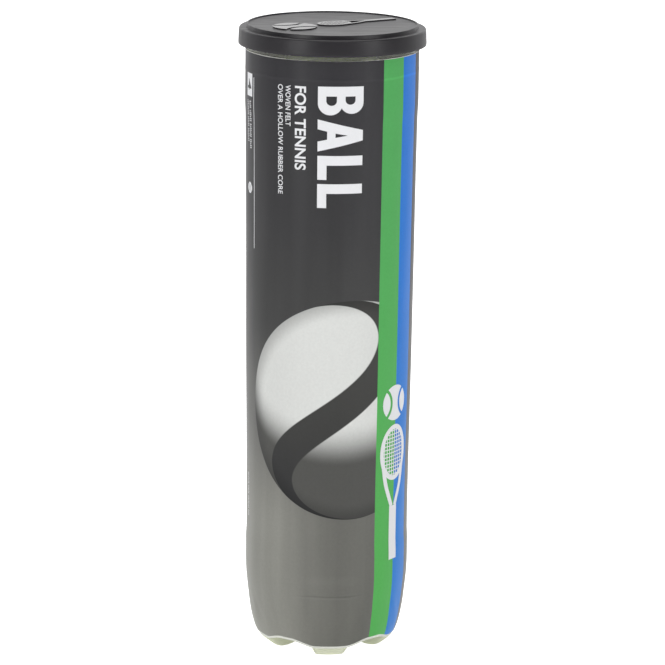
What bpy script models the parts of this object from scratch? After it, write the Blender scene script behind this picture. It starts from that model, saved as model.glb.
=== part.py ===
"""A can of four tennis balls, with its plastic overcap on.

A clear PET can stands on five moulded feet and wears a printed shrink sleeve. A ring of metal is
seamed onto its neck. A tear panel with a ring pull closes that ring, and a press-on overcap covers
it. Each ball is a hollow rubber core in two halves, two felt panels and the rubber seam between
them. Lengths are in millimetres until a mesh is made. The can stands on z = 0, its axis is the Z
axis, and the front of its label faces -Y.
"""

import math

import bpy
from mathutils import Euler, Vector

MM = 0.001

# Overall
CAP_TOP = 275.4
SEAM_TOP = CAP_TOP - 2.5
ROUND_STEPS = 50
FEET = 5
FRONT = -math.pi / 2

# Sleeve and can wall
SLEEVE_THICK = 0.4
SLEEVE_GAP = 0.3
SLEEVE_FOOT_Z = 5.5
SLEEVE_WAVE = 2.7
SLEEVE_WAVE_FROM = math.radians(12.0)
SLEEVE_WAVE_TO = math.radians(32.0)
SLEEVE_TOP = 264.9
PET_WALL = 0.6
SLEEVE_OUTSIDE = (
    (31.02, SLEEVE_FOOT_Z),
    (32.30, 9.2),
    (33.15, 12.6),
    (34.20, 19.5),
    (35.05, 27.0),
    (35.60, 33.5),
    (35.75, 39.0),
    (35.75, 47.0),
    (35.50, 53.0),
    (36.75, 236.0),
    (37.00, 243.0),
    (36.95, SLEEVE_TOP),
)

# The feet of the can: radius and height of each ring, from the middle out
FOOT_RINGS = (
    (6.0, 2.15),
    (11.0, 1.90),
    (15.5, 1.00),
    (18.8, 0.20),
    (20.6, 0.00),
    (22.8, 0.00),
    (25.2, 0.75),
    (28.8, 3.20),
)
BASE_MIDDLE_Z = 2.15
VALLEY_RADIUS = 34.3
VALLEY_CENTRE_Z = VALLEY_RADIUS + BASE_MIDDLE_Z
VALLEY_FLAT = math.radians(10.5)
VALLEY_EDGE = math.radians(23.5)

# The neck above the sleeve, up to the flange inside the seam
NECK_RINGS = (
    (36.25, 265.3),
    (36.80, 266.1),
    (36.80, SEAM_TOP - 2.6),
    (37.05, SEAM_TOP - 2.2),
    (37.70, SEAM_TOP - 2.1),
)

# Metal end: radius, and height under the top of the seam
END_RING = (
    (38.00, -2.90),
    (38.40, -2.90),
    (38.40, -0.40),
    (38.25, -0.10),
    (37.90, 0.00),
    (36.00, 0.00),
    (35.55, -0.15),
    (35.40, -0.50),
    (35.40, -5.10),
    (35.20, -5.45),
    (34.90, -5.45),
    (34.70, -5.10),
    (34.60, -4.80),
    (34.40, -4.70),
    (33.40, -4.70),
    (33.40, -5.10),
    (34.20, -5.10),
    (34.30, -5.60),
    (34.70, -5.95),
    (35.40, -5.95),
    (35.80, -5.50),
    (35.80, -0.40),
    (38.00, -0.40),
)
SEAM_GASKET = ((36.40, -1.10), (37.60, -1.10), (37.60, -0.70), (36.40, -0.70))
TEAR_PANEL = (
    (0.0, -5.10),
    (25.4, -5.10),
    (26.2, -5.70),
    (28.8, -5.70),
    (29.2, -5.10),
    (33.1, -5.10),
    (33.1, -4.70),
    (29.4, -4.70),
    (28.6, -5.30),
    (26.4, -5.30),
    (25.6, -4.70),
    (0.0, -4.70),
)
PANEL_HINGE_Y = 38.5

# Ring pull: height over the panel, then its plan
PANEL_TOP = SEAM_TOP - 4.7
TAB_CLEAR = 0.3
TAB_THICK = 1.0
TAB_AXIS_Y = -30.6
TAB_NOSE_RADIUS = 0.55
TAB_NOSE_WIDTH = 8.0
TAB_WIDTH = 15.4
TAB_RING_Y = -12.6
TAB_SHOULDER_Y = -24.5
FINGER_HOLE = (4.9, 5.2)
RIVET_WINDOW = (3.7, 2.9)
RIVET_WINDOW_Y = -25.6
RIVET_Y = -26.0
RIVET = ((0.0, 0.3), (2.2, 0.3), (2.2, 0.7), (1.7, 0.9), (1.5, 1.5), (0.0, 1.6))

# Overcap: radius, and height under its top
OVERCAP = (
    (0.0, -1.50),
    (34.6, -1.50),
    (35.0, -2.20),
    (38.2, -2.20),
    (38.8, -2.90),
    (38.9, -6.50),
    (38.7, -7.20),
    (39.0, -8.50),
    (39.95, -8.50),
    (40.0, -7.50),
    (39.75, -2.20),
    (39.5, -1.75),
    (39.1, -1.60),
    (36.6, -1.60),
    (36.4, -0.10),
    (36.2, 0.00),
    (35.7, 0.00),
    (35.5, -0.50),
    (0.0, -0.50),
)

# Balls
BALL_COUNT = 4
BALL_RADIUS = 32.85
BALL_PITCH = 66.0
FIRST_BALL_Z = 36.05
CORE_RADIUS = 29.8
CORE_WALL = 3.3
CORE_SPLIT = 0.3
FELT_INSIDE = 30.6
SEAM_INSIDE = 30.7
SEAM_OUTSIDE = 32.1
SEAM_WIDTH = 2.2
FELT_GAP = 0.35
SEAM_CURVE = 0.25
FELT_ROWS = 20
FELT_COLUMNS = 4
CORE_STEPS = 20
BALL_TURNS = ((20, 35, 10), (75, 10, 140), (110, 60, 250), (35, 80, 205))


def clear_scene():
    for obj in list(bpy.data.objects):
        bpy.data.objects.remove(obj, do_unlink=True)


def make_material(name, colour, roughness, metallic=0.0, transmission=0.0):
    material = bpy.data.materials.new(name)
    material.use_nodes = True
    shader = material.node_tree.nodes["Principled BSDF"]
    shader.inputs["Base Color"].default_value = (*colour, 1.0)
    shader.inputs["Roughness"].default_value = roughness
    shader.inputs["Metallic"].default_value = metallic
    shader.inputs["Transmission Weight"].default_value = transmission
    material.diffuse_color = (*colour, 1.0)
    return material


def add_object(name, points, faces, material, origin=(0.0, 0.0, 0.0)):
    """Makes a mesh object from points in millimetres, with its origin where asked."""
    base = Vector(origin)
    mesh = bpy.data.meshes.new(name)
    mesh.from_pydata([(Vector(point) - base) * MM for point in points], [], faces)
    mesh.materials.append(material)
    mesh.shade_smooth()
    mesh.set_sharp_from_angle(angle=math.radians(35))
    obj = bpy.data.objects.new(name, mesh)
    obj.location = base * MM
    bpy.context.scene.collection.objects.link(obj)
    return obj


def raised(profile, height):
    return [(radius, z + height) for radius, z in profile]


def ring_points(radius, z, steps):
    angles = [FRONT + 2 * math.pi * step / steps for step in range(steps)]
    return [(radius * math.cos(angle), radius * math.sin(angle), z) for angle in angles]


def revolve(profile, steps, centre=(0.0, 0.0)):
    """Turns a profile, listed anticlockwise, about a vertical axis.

    A closed profile makes a ring. One that starts and ends on the axis makes a disc.
    """
    points = []
    rings = []
    for radius, z in profile:
        first = len(points)
        if radius == 0.0:
            points.append((centre[0], centre[1], z))
            rings.append([first] * steps)
            continue
        for x, y, height in ring_points(radius, z, steps):
            points.append((x + centre[0], y + centre[1], height))
        rings.append(list(range(first, first + steps)))
    on_axis = profile[0][0] == 0.0
    pairs = list(zip(rings, rings[1:]))
    if not on_axis:
        pairs.append((rings[-1], rings[0]))
    faces = []
    for lower, upper in pairs:
        for step in range(steps):
            after = (step + 1) % steps
            corners = [lower[step], lower[after], upper[after], upper[step]]
            face = list(dict.fromkeys(corners))
            if len(face) > 2:
                faces.append(face)
    return points, faces


def offset_profile(profile, distance):
    """Moves each point of an open profile towards the axis side of the line by a distance."""
    moved = []
    last = len(profile) - 1
    for index, (radius, z) in enumerate(profile):
        before = profile[max(index - 1, 0)]
        after = profile[min(index + 1, last)]
        length = math.hypot(after[0] - before[0], after[1] - before[1])
        out_r = (after[1] - before[1]) / length
        out_z = -(after[0] - before[0]) / length
        moved.append((radius - distance * out_r, z - distance * out_z))
    return moved


def smooth_step(value, low, high):
    """Rises from 0 at low to 1 at high, with no corner at either end."""
    share = min(max((value - low) / (high - low), 0.0), 1.0)
    return share * share * (3 - 2 * share)


def angle_from_valley(angle):
    """The angle to the nearest valley between two feet. A foot points to the front."""
    lobe = 2 * math.pi / FEET
    return abs((angle - FRONT) % lobe - lobe / 2)


def foot_share(angle):
    """1 on a foot and 0 along the valley between two feet."""
    return smooth_step(angle_from_valley(angle), VALLEY_FLAT, VALLEY_EDGE)


def valley_ring(radius, z):
    """Where a ring of the foot profile lies along a valley, which is part of a round bowl."""
    if z >= VALLEY_CENTRE_Z:
        return radius, z
    run = VALLEY_CENTRE_Z - z
    slope = math.atan2(radius, run)
    bowl_radius = VALLEY_RADIUS * math.sin(slope)
    bowl_z = VALLEY_CENTRE_Z - VALLEY_RADIUS * math.cos(slope)
    return min(bowl_radius, radius), max(bowl_z, z)


def body_rings():
    side = offset_profile(SLEEVE_OUTSIDE, SLEEVE_THICK + SLEEVE_GAP)
    return list(FOOT_RINGS) + side + list(NECK_RINGS)


def build_can_body(material):
    points = [(0.0, 0.0, BASE_MIDDLE_Z)]
    faces = []
    for radius, z in body_rings():
        low_radius, low_z = valley_ring(radius, z)
        for x, y, _ in ring_points(1.0, 0.0, ROUND_STEPS):
            share = foot_share(math.atan2(y, x))
            across = low_radius + (radius - low_radius) * share
            up = low_z + (z - low_z) * share
            points.append((x * across, y * across, up))
    for step in range(ROUND_STEPS):
        after = (step + 1) % ROUND_STEPS
        faces.append((0, 1 + after, 1 + step))
    for ring in range(len(body_rings()) - 1):
        inner = 1 + ring * ROUND_STEPS
        outer = inner + ROUND_STEPS
        for step in range(ROUND_STEPS):
            after = (step + 1) % ROUND_STEPS
            faces.append((inner + step, inner + after, outer + after, outer + step))
    body = add_object("can_body", points, faces, material)
    add_wall(body, PET_WALL)


def add_wall(obj, thickness):
    wall = obj.modifiers.new("Wall", "SOLIDIFY")
    wall.thickness = thickness * MM
    wall.offset = -1.0
    wall.use_rim = True


def sleeve_bottom_z(angle):
    """The sleeve's lower edge, lowest on each foot and highest over each valley."""
    from_foot = math.pi / FEET - angle_from_valley(angle)
    return SLEEVE_FOOT_Z + SLEEVE_WAVE * smooth_step(from_foot, SLEEVE_WAVE_FROM, SLEEVE_WAVE_TO)


def build_label_sleeve(material):
    """The sleeve follows the can down to a wavy lower edge."""
    points = []
    faces = []
    start_radius, start_z = SLEEVE_OUTSIDE[0]
    next_radius, next_z = SLEEVE_OUTSIDE[1]
    for ring, (radius, z) in enumerate(SLEEVE_OUTSIDE):
        for x, y, _ in ring_points(1.0, 0.0, ROUND_STEPS):
            across, up = radius, z
            if ring == 0:
                up = sleeve_bottom_z(math.atan2(y, x))
                part = (up - start_z) / (next_z - start_z)
                across = start_radius + (next_radius - start_radius) * part
            points.append((x * across, y * across, up))
    for ring in range(len(SLEEVE_OUTSIDE) - 1):
        lower = ring * ROUND_STEPS
        upper = lower + ROUND_STEPS
        for step in range(ROUND_STEPS):
            after = (step + 1) % ROUND_STEPS
            faces.append((lower + step, lower + after, upper + after, upper + step))
    sleeve = add_object("label_sleeve", points, faces, material)
    add_wall(sleeve, SLEEVE_THICK)


def build_metal_end(metal, panel_metal, rivet_metal, compound):
    points, faces = revolve(raised(END_RING, SEAM_TOP), ROUND_STEPS)
    add_object("end_ring", points, faces, metal)
    points, faces = revolve(raised(SEAM_GASKET, SEAM_TOP), ROUND_STEPS)
    add_object("seam_gasket", points, faces, compound)
    points, faces = revolve(raised(TEAR_PANEL, SEAM_TOP), ROUND_STEPS)
    hinge = (0.0, PANEL_HINGE_Y, SEAM_TOP)
    add_object("tear_panel", points, faces, panel_metal, hinge)
    points, faces = revolve(raised(RIVET, PANEL_TOP), 24, (0.0, RIVET_Y))
    add_object("tab_rivet", points, faces, rivet_metal, hinge)


def tab_outline():
    """Half of the ring pull's outline as (x, y), from its nose round to the middle of its ring."""
    half_nose = TAB_NOSE_WIDTH / 2
    half_width = TAB_WIDTH / 2
    outline = [(half_nose, TAB_AXIS_Y)]
    for step in range(1, 5):
        part = step / 4
        ease = math.sin(part * math.pi / 2)
        x = half_nose + (half_width - half_nose) * ease
        outline.append((x, TAB_AXIS_Y + (TAB_SHOULDER_Y - TAB_AXIS_Y) * part))
    for step in range(13):
        angle = math.pi / 2 * step / 12
        outline.append((half_width * math.cos(angle), TAB_RING_Y + half_width * math.sin(angle)))
    return outline


def prism(outline, low, high):
    """A closed prism from a plan listed anticlockwise."""
    count = len(outline)
    points = [(x, y, low) for x, y in outline] + [(x, y, high) for x, y in outline]
    faces = [list(range(count - 1, -1, -1)), list(range(count, 2 * count))]
    for index in range(count):
        after = (index + 1) % count
        faces.append((index, after, count + after, count + index))
    return points, faces


def oval(half_x, half_y, centre_y, steps=28):
    angles = [2 * math.pi * step / steps for step in range(steps)]
    return [(half_x * math.cos(angle), centre_y + half_y * math.sin(angle)) for angle in angles]


def nose_bar(axis_z):
    """The rolled nose of the ring pull, a round bar along X on the tab's axis."""
    sides = 16
    half = TAB_NOSE_WIDTH / 2 + 0.2
    points = []
    for x in (-half, half):
        for side in range(sides):
            angle = 2 * math.pi * side / sides
            y = TAB_AXIS_Y + TAB_NOSE_RADIUS * math.cos(angle)
            points.append((x, y, axis_z + TAB_NOSE_RADIUS * math.sin(angle)))
    faces = [list(range(sides - 1, -1, -1)), list(range(sides, 2 * sides))]
    for side in range(sides):
        after = (side + 1) % sides
        faces.append((side, after, sides + after, sides + side))
    return points, faces


def add_cutter(name, points, faces, material, origin):
    cutter = add_object(name, points, faces, material, origin)
    cutter.hide_render = True
    cutter.display_type = "WIRE"
    return cutter


def add_boolean(obj, other, operation):
    boolean = obj.modifiers.new(other.name, "BOOLEAN")
    boolean.operation = operation
    boolean.solver = "EXACT"
    boolean.object = other


def build_pull_tab(material):
    low = PANEL_TOP + TAB_CLEAR
    axis_z = low + TAB_NOSE_RADIUS
    origin = (0.0, TAB_AXIS_Y, axis_z)
    right = tab_outline()
    left = [(-x, y) for x, y in reversed(right[:-1])]
    points, faces = prism(right + left, low + 0.02, low + TAB_THICK)
    tab = add_object("pull_tab", points, faces, material, origin)
    plans = (
        ("finger_hole_cutter", oval(*FINGER_HOLE, TAB_RING_Y + 1.0)),
        ("rivet_window_cutter", oval(*RIVET_WINDOW, RIVET_WINDOW_Y, 20)),
    )
    for name, plan in plans:
        points, faces = prism(plan, low - 1.0, low + TAB_THICK + 1.0)
        add_boolean(tab, add_cutter(name, points, faces, material, origin), "DIFFERENCE")
    points, faces = nose_bar(axis_z)
    add_boolean(tab, add_cutter("nose_bar_shape", points, faces, material, origin), "UNION")


def seam_point(turn):
    """A point of unit length on the tennis-ball curve."""
    wide = 1.0 - SEAM_CURVE
    x = wide * math.cos(turn) + SEAM_CURVE * math.cos(3 * turn)
    y = wide * math.sin(turn) - SEAM_CURVE * math.sin(3 * turn)
    z = 2 * math.sqrt(wide * SEAM_CURVE) * math.sin(2 * turn)
    return Vector((x, y, z)).normalized()


def seam_side(turn):
    """The unit direction along the ball's surface, square to the seam, towards panel A."""
    along = seam_point(turn + 0.001) - seam_point(turn - 0.001)
    return along.cross(seam_point(turn)).normalized()


def beside_seam(turn, distance):
    """A point of unit length at a distance from the seam, measured on the ball's surface."""
    angle = distance / BALL_RADIUS
    return seam_point(turn) * math.cos(angle) + seam_side(turn) * math.sin(angle)


def between(start, end, part):
    """A point part of the way along the great circle from start to end."""
    angle = start.angle(end)
    if angle < 1e-6:
        return start.copy()
    first = math.sin((1 - part) * angle) / math.sin(angle)
    second = math.sin(part * angle) / math.sin(angle)
    return (start * first + end * second).normalized()


def side_sign():
    """Whether seam_side points into panel A or out of it."""
    middle = between(seam_point(math.pi / 4), seam_point(5 * math.pi / 4), 0.5)
    inward = middle - seam_point(math.pi / 4)
    return 1.0 if seam_side(math.pi / 4).dot(inward) > 0 else -1.0


def panel_rows(distance):
    """Rows of directions across panel A, whose first and last rows are single points."""
    rows = []
    for row in range(FELT_ROWS + 1):
        turn = -math.pi / 4 + math.pi * row / FELT_ROWS
        start = beside_seam(turn, distance)
        end = beside_seam(3 * math.pi / 2 - turn, distance)
        if row in (0, FELT_ROWS):
            rows.append([start])
            continue
        rows.append([between(start, end, col / FELT_COLUMNS) for col in range(FELT_COLUMNS + 1)])
    return rows


def shell_between(rows, inside, outside):
    """A closed shell from rows of directions, from one radius to the other."""
    points = []
    numbers = []
    for row in rows:
        numbers.append(list(range(len(points), len(points) + len(row))))
        points.extend(row)
    count = len(points)
    skin = []
    for low, high in zip(numbers, numbers[1:]):
        if len(low) == 1:
            skin.extend([low[0], high[col + 1], high[col]] for col in range(len(high) - 1))
        elif len(high) == 1:
            skin.extend([low[col], low[col + 1], high[0]] for col in range(len(low) - 1))
        else:
            for col in range(len(low) - 1):
                skin.append([low[col], low[col + 1], high[col + 1], high[col]])
    edge = [row[-1] for row in numbers] + [row[0] for row in reversed(numbers[1:-1])]
    faces = [list(face) for face in skin]
    faces += [[index + count for index in reversed(face)] for face in skin]
    for here, after in zip(edge, edge[1:] + edge[:1]):
        faces.append([after, here, here + count, after + count])
    outer = [point * outside for point in points]
    inner = [point * inside for point in points]
    return outer + inner, faces


def turned_outwards(points, faces):
    """The same faces, all reversed if the shape they close was inside out."""
    volume = 0.0
    for face in faces:
        first = points[face[0]]
        for second, third in zip(face[1:], face[2:]):
            volume += first.dot(points[second].cross(points[third]))
    if volume < 0:
        return [list(reversed(face)) for face in faces]
    return faces


def flipped(points):
    """Panel A's points carried over to panel B."""
    return [Vector((point.y, -point.x, -point.z)) for point in points]


def seam_ring(sign):
    """The rubber seam, a closed ribbon with four sides."""
    steps = 2 * FELT_ROWS
    half = SEAM_WIDTH / 2
    points = []
    for step in range(steps):
        turn = -math.pi / 4 + 2 * math.pi * step / steps
        left = beside_seam(turn, sign * half)
        right = beside_seam(turn, -sign * half)
        points += [left * SEAM_OUTSIDE, right * SEAM_OUTSIDE, right * SEAM_INSIDE, left * SEAM_INSIDE]
    faces = []
    for step in range(steps):
        here = 4 * step
        after = 4 * ((step + 1) % steps)
        for side in range(4):
            beside = (side + 1) % 4
            faces.append([here + side, here + beside, after + beside, after + side])
    return points, faces


def core_half(sign):
    """One half of the hollow rubber core, a bowl that opens at the ball's middle."""
    edge = CORE_SPLIT / 2
    inside = CORE_RADIUS - CORE_WALL
    profile = []
    for step in range(4):
        angle = math.pi / 2 * (1 - step / 4)
        profile.append((CORE_RADIUS * math.cos(angle), CORE_RADIUS * math.sin(angle)))
    profile[0] = (0.0, CORE_RADIUS)
    profile += [(CORE_RADIUS, edge), (inside, edge)]
    for step in range(1, 4):
        angle = math.pi / 2 * step / 3
        profile.append((inside * math.cos(angle), inside * math.sin(angle)))
    profile[-1] = (0.0, inside)
    profile = [(radius, sign * z) for radius, z in profile]
    points, faces = revolve(profile, CORE_STEPS)
    return [Vector(point) for point in points], faces


def build_ball(number, materials):
    sign = side_sign()
    felt_edge = sign * (SEAM_WIDTH / 2 + FELT_GAP)
    felt_points, felt_faces = shell_between(panel_rows(felt_edge), FELT_INSIDE, BALL_RADIUS)
    seam_points, seam_faces = seam_ring(sign)
    pieces = {
        "core_half_a": core_half(1),
        "core_half_b": core_half(-1),
        "felt_a": (felt_points, felt_faces),
        "felt_b": (flipped(felt_points), felt_faces),
        "seam": (seam_points, seam_faces),
    }
    turn = Euler([math.radians(angle) for angle in BALL_TURNS[number - 1]]).to_matrix()
    centre = Vector((0.0, 0.0, FIRST_BALL_Z + BALL_PITCH * (number - 1)))
    for name, (points, faces) in pieces.items():
        outwards = turned_outwards(points, faces)
        placed = [turn @ point + centre for point in points]
        add_object(f"ball_{number}_{name}", placed, outwards, materials[name], centre)


def ball_materials(number):
    tag = f"ball_{number}"
    return {
        "core_half_a": make_material(f"{tag}_core_a_rubber", (0.11, 0.10, 0.09), 0.7),
        "core_half_b": make_material(f"{tag}_core_b_rubber", (0.12, 0.11, 0.10), 0.7),
        "felt_a": make_material(f"{tag}_felt_a_fabric", (0.60, 0.78, 0.08), 0.95),
        "felt_b": make_material(f"{tag}_felt_b_fabric", (0.59, 0.77, 0.08), 0.95),
        "seam": make_material(f"{tag}_seam_rubber", (0.82, 0.83, 0.78), 0.6),
    }


def build_overcap(material):
    points, faces = revolve(raised(OVERCAP, CAP_TOP), ROUND_STEPS)
    add_object("overcap", points, faces, material)


def main():
    clear_scene()
    build_can_body(make_material("clear_pet", (0.86, 0.90, 0.82), 0.08, transmission=0.9))
    build_label_sleeve(make_material("printed_sleeve", (0.065, 0.065, 0.066), 0.3))
    build_metal_end(
        make_material("end_aluminium", (0.80, 0.80, 0.79), 0.3, metallic=1.0),
        make_material("panel_aluminium", (0.82, 0.82, 0.80), 0.28, metallic=1.0),
        make_material("rivet_aluminium", (0.76, 0.76, 0.75), 0.35, metallic=1.0),
        make_material("seam_compound", (0.55, 0.50, 0.42), 0.7),
    )
    build_pull_tab(make_material("tab_aluminium", (0.72, 0.72, 0.71), 0.3, metallic=1.0))
    build_overcap(make_material("overcap_plastic", (0.055, 0.053, 0.058), 0.4))
    for number in range(1, BALL_COUNT + 1):
        build_ball(number, ball_materials(number))


main()
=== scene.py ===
"""The look of a can of tennis balls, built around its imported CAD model.

Lengths are in millimetres in this script and become metres when a mesh is made. The can's axis is
Z and the front of its label faces -Y. Angles round the can start at the front and grow to the
right. The middle of the printed front sits a few degrees to the left of the front foot.
"""

import math

import bmesh
import bpy
import numpy as np
from mathutils import Euler, Matrix, Vector
from mathutils.geometry import tessellate_polygon
from mathutils import noise

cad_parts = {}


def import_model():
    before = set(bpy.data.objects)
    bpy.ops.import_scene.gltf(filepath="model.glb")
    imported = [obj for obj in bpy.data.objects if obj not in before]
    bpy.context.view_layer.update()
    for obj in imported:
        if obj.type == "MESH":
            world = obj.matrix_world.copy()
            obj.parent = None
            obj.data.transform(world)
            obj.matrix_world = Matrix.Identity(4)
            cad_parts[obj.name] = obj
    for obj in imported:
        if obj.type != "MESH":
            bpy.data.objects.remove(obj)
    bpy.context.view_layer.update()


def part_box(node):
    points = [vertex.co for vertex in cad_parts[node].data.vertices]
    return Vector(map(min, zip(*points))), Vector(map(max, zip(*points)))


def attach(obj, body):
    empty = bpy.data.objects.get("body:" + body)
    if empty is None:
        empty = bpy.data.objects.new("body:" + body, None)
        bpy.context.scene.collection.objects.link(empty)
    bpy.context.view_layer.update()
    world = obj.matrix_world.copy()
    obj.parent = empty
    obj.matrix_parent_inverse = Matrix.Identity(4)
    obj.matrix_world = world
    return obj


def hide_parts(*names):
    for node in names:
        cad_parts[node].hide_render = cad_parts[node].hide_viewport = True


MM = 0.001
TURN = 2 * math.pi

# Can wall and sleeve
FEET = 5
ROUND_STEPS = 240
SLEEVE_SKIN = (
    (30.50, 4.2), (31.95, 7.8), (33.15, 12.6), (34.20, 19.5), (35.05, 27.0), (35.60, 33.5),
    (35.75, 39.0), (35.75, 47.0), (35.50, 53.0), (36.12, 144.0), (36.75, 236.0), (37.00, 243.0),
    (36.95, 264.9),
)
SLEEVE_FOOT_Z = 5.5
SLEEVE_WAVE = 2.7
SLEEVE_WAVE_FROM = math.radians(12.0)
SLEEVE_WAVE_TO = math.radians(32.0)
SLEEVE_THICK = 0.12
HEM_HEIGHT = 1.1
TOP_HEM = 0.25
PET_UNDER_SKIN = 0.32
PET_WALL = 0.55
FOOT_CURVE = (
    (0.0, 2.15), (6.0, 2.12), (11.0, 1.85), (15.5, 0.95), (18.6, 0.22), (20.6, 0.0), (22.8, 0.0),
    (24.7, 0.38), (26.8, 1.50), (28.8, 3.10),
)
NECK_CURVE = ((36.63, 265.2), (36.66, 266.0), (36.80, 267.0))
VALLEY_RADIUS = 34.3
VALLEY_CENTRE_Z = 36.45
VALLEY_FLAT = math.radians(10.5)
VALLEY_EDGE = math.radians(23.5)

# Label, with angles in degrees from its middle and heights over the floor
LABEL_TURN = -4.05
LABEL_RADIUS = 36.0
GREEN_FROM = 35.8
BLUE_FROM = 54.2
BLUE_TO = 72.2
# Painted shade and highlights in the film's colour: lowest and highest height, softness and gain. A
# painted dark line at a fold, a painted light line just under it and a painted light band on a swell.
PAINTED_FILM_LIGHT = ((30.4, 31.0, 0.2, -0.16), (29.4, 30.1, 0.2, 0.07), (36.0, 39.5, 1.6, 0.06))
BALL_ART_X = 9.9
BALL_ART_Z = 114.2
BALL_ART_RADIUS = 48.6
BALL_ART_TO = 40.0
BALL_ART_TURN = (214.0, 74.7, 127.7)
BALL_ART_SADDLE = 1.04
BALL_ART_SEAM = 0.135
BALL_ART_LIGHT = (-0.05, 0.86, 0.5)
BALL_ART_PALE = (0.66, 0.67, 0.65)
BALL_ART_SHADE = (0.075, 0.075, 0.070)
PRINT_LIFT = 0.03
PRINT_THICK = 0.04
LEVEL_STEP = 0.004

# Lettering: the big word's letters, each as an outline with its holes
LETTER_TALL = 18.7
LETTER_GAP = 1.8

# Metal end: radius and height under the top of the seam
SEAM_PROFILE = (
    (38.00, -2.90), (38.40, -2.90), (38.40, -0.45), (38.15, 0.00), (36.00, 0.00), (35.40, -0.45),
    (35.40, -5.10), (35.20, -5.45), (34.90, -5.45), (34.60, -4.70), (33.40, -4.70),
    (33.40, -5.05), (34.20, -5.10), (34.35, -5.75), (34.70, -5.95), (35.40, -5.95),
    (35.80, -5.45), (35.80, -0.40), (38.00, -0.40),
)
GASKET_PROFILE = ((36.40, -1.10), (37.60, -1.10), (37.60, -0.70), (36.40, -0.70))
PANEL_RADIUS = 33.1
PANEL_THICK = 0.25
RIVET_Y = -26.0
RIVET_PROFILE = ((0.0, 0.3), (2.2, 0.3), (2.2, 0.75), (1.6, 0.95), (1.5, 1.55), (0.0, 1.6))
TONGUE_PROFILE = ((0.0, 0.03), (2.7, 0.03), (2.7, 0.27), (0.0, 0.27))

# Ring pull
TAB_AXIS_Y = -30.6
TAB_NOSE_WIDTH = 8.0
TAB_WIDTH = 15.4
TAB_RING_Y = -12.6
TAB_SHOULDER_Y = -24.5
FINGER_HOLE = (4.9, 5.2, TAB_RING_Y + 1.0)
RIVET_WINDOW = (3.7, 2.9, -25.6)

# Overcap: radius and height under its lip
CAP_DISC = -0.50
CAP_PROFILE = (
    (0.0, -1.50), (34.6, -1.50), (35.0, -2.20), (38.2, -2.20), (38.8, -2.90), (38.9, -6.50),
    (38.7, -7.20), (39.0, -8.50), (39.95, -8.50), (40.0, -7.50), (39.75, -2.20), (39.5, -1.75),
    (39.1, -1.60), (36.6, -1.60), (36.4, -0.10), (36.2, 0.00), (35.7, 0.00), (35.65, CAP_DISC),
    (0.0, CAP_DISC),
)
RELIEF_RAISE = 0.5
RELIEF_DEPTH = 0.8
RELIEF_TURN = 118.0

# Balls
BALL_RADIUS = 32.85
BALL_PITCH = 66.0
FIRST_BALL_Z = 36.05
BALL_TURNS = ((20, 35, 10), (75, 10, 140), (110, 60, 250), (35, 80, 205))
SEAM_CURVE = 0.25
SEAM_OUTSIDE = 32.05
SEAM_HALF_WIDTH = 1.25
CORE_RADIUS = 29.8
CORE_WALL = 3.3
CORE_SPLIT = 0.3
FELT_INSIDE = 30.6
FELT_EDGE = 1.32
FELT_ROLL = 0.7
FELT_ROLL_WIDTH = 1.3
FELT_NAP = 0.1
FELT_ROWS = 96
FELT_COLUMNS = 32
FUZZ_COUNT = 5000
FUZZ_LENGTH = (0.5, 1.5)
FUZZ_WIDTH = 0.06

# Studio: the camera in millimetres and degrees, lights in metres and watts
CAMERA_PLACE = (-88.6, -1250.0, 459.4)
CAMERA_PITCH = 14.30
CAMERA_HEADING = 4.125
CAMERA_ROLL = 0.707
CAMERA_LENS = 160.84
ROOM_GREY = 0.08
SWEEP_WHITE = 1.25
FLOOR_SEEN = 1.0
FLOOR_GLOW = 0.34
LIGHTS = (
    ("left_box", (-1.0, -1.0, 0.7), (0.0, 0.0, 0.14), 0.5, 1.3, 8.3),
    ("right_box", (1.0, -1.0, 0.7), (0.0, 0.0, 0.14), 0.5, 1.3, 7.4),
    ("front_box", (0.0, -1.1, 1.5), (0.0, 0.0, 0.12), 1.2, 0.8, 4.8),
    ("top_box", (0.0, 0.4, 1.5), (0.0, 0.0, 0.2), 1.4, 1.0, 4.0),
)


def unit(vectors):
    return vectors / np.linalg.norm(vectors, axis=-1, keepdims=True)


def turns(steps):
    """Angles evenly spaced round a full turn."""
    return TURN * np.arange(steps) / steps


def sideways(path, closed=True):
    """Unit vectors to the right of a flat path, at each of its points."""
    path = np.array(path, float)
    run = np.roll(path, -1, axis=0) - np.roll(path, 1, axis=0) if closed else np.gradient(path, axis=0)
    return unit(np.stack([run[:, 1], -run[:, 0]], axis=1))


def arc(x, z, half_x, half_z, start, end, steps=20):
    """Points on part of an ellipse, with angles in degrees anticlockwise from the right."""
    places = [math.radians(start + (end - start) * step / steps) for step in range(steps + 1)]
    return [(x + half_x * math.cos(t), z + half_z * math.sin(t)) for t in places]


def oval(half_x, half_z, z, x=0.0):
    return arc(x, z, half_x, half_z, 0, 360, 64)[:-1]


def smooth_curve(points, spacing):
    """Points along a smooth curve through the given ones, with tangents that never overshoot."""
    knots = np.array(points, float)
    steps = np.hypot(*(np.diff(knots, axis=0).T))
    along = np.concatenate([[0.0], np.cumsum(steps)])
    slopes = np.diff(knots, axis=0) / steps[:, None]
    before, after = slopes[:-1], slopes[1:]
    same_way = before * after > 0
    inner = np.where(same_way, 2 * before * after / np.where(same_way, before + after, 1.0), 0.0)
    tangents = np.concatenate([slopes[:1], inner, slopes[-1:]])
    places = np.linspace(0.0, along[-1], max(int(along[-1] / spacing), 2) + 1)
    part = np.clip(np.searchsorted(along, places, side="right") - 1, 0, len(steps) - 1)
    length = steps[part][:, None]
    share = (places - along[part])[:, None] / length
    cube, square = share**3, share**2
    curve = (2 * cube - 3 * square + 1) * knots[part] + (3 * square - 2 * cube) * knots[part + 1]
    leave = (cube - 2 * square + share) * tangents[part]
    return curve + (leave + (cube - square) * tangents[part + 1]) * length


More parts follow.
